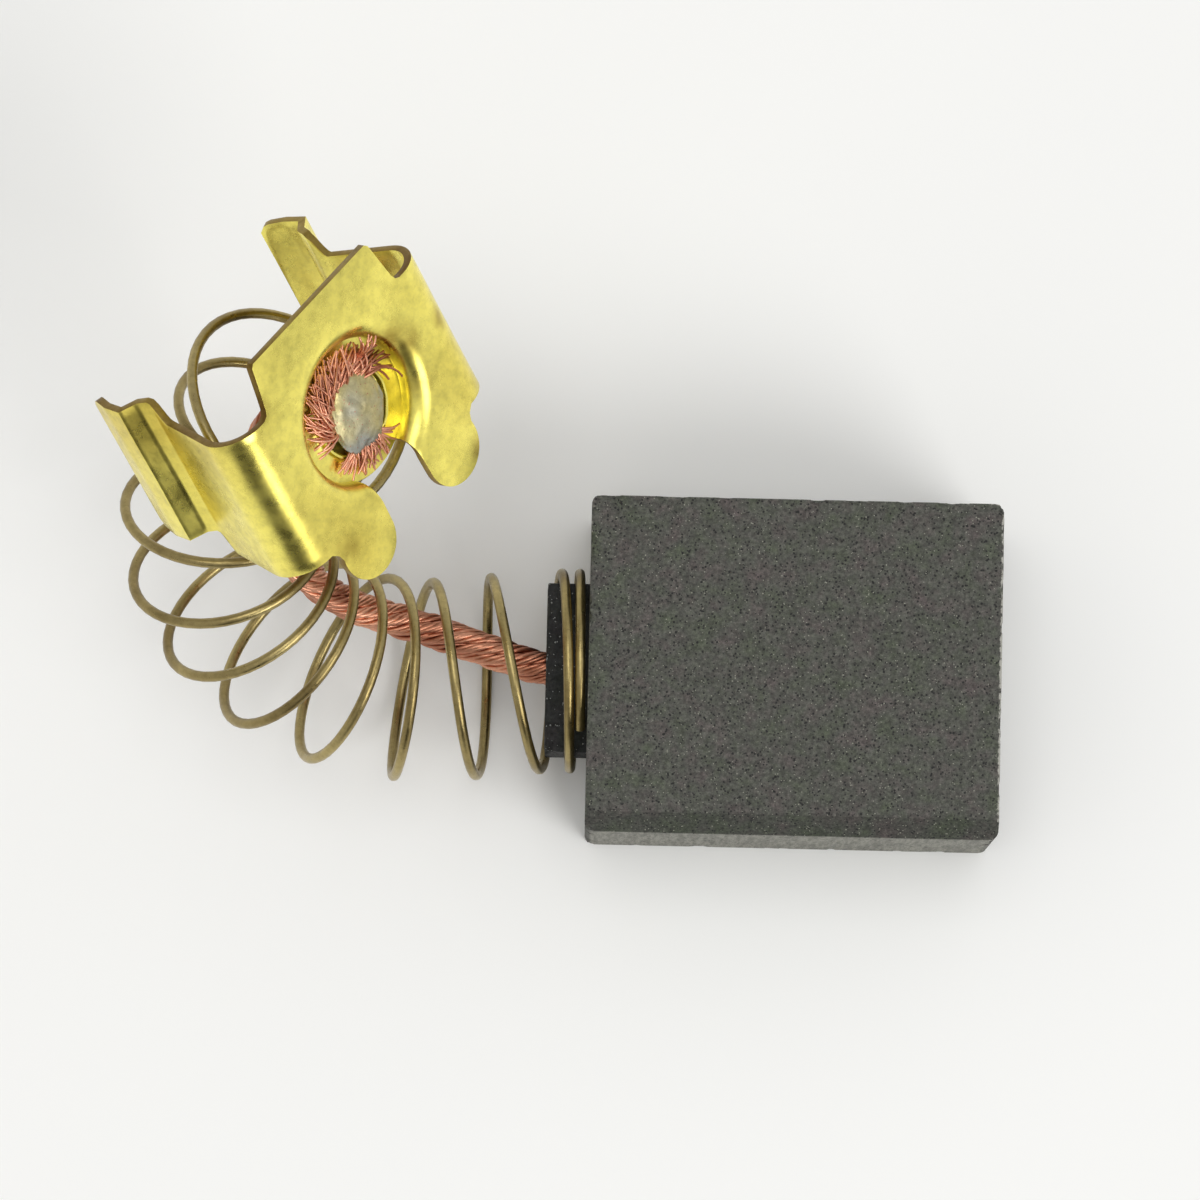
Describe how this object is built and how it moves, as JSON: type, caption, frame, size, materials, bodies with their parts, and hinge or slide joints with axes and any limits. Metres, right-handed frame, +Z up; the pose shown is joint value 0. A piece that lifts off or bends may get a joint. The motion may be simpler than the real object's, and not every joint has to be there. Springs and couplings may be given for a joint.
{
  "type": "carbon brush",
  "caption": "Rectangular carbon brush with a bent coil spring, a stranded copper shunt inside it and a pressed brass terminal clip with a soldered cup.",
  "frame": {"origin": "middle of the block's underside, which lies on the surface", "axes": "+X along the block towards the face that runs on the commutator, +Z up, +Y across the block on the side to which the spring bends"},
  "size_m": [0.0294, 0.0187, 0.0221],
  "materials": {
    "carbon": "porous ground carbon, matte",
    "spring_wire": "drawn bronze-coloured wire, browned",
    "copper": "bare twisted copper strands",
    "brass": "pressed sheet, bright with olive stains",
    "solder": "dull mottled solder"
  },
  "bodies": {
    "root": {"carbon_block": "carbon", "spring": "spring_wire", "shunt": "copper", "terminal": "brass", "solder_button": "solder"}
  },
  "joints": []
}
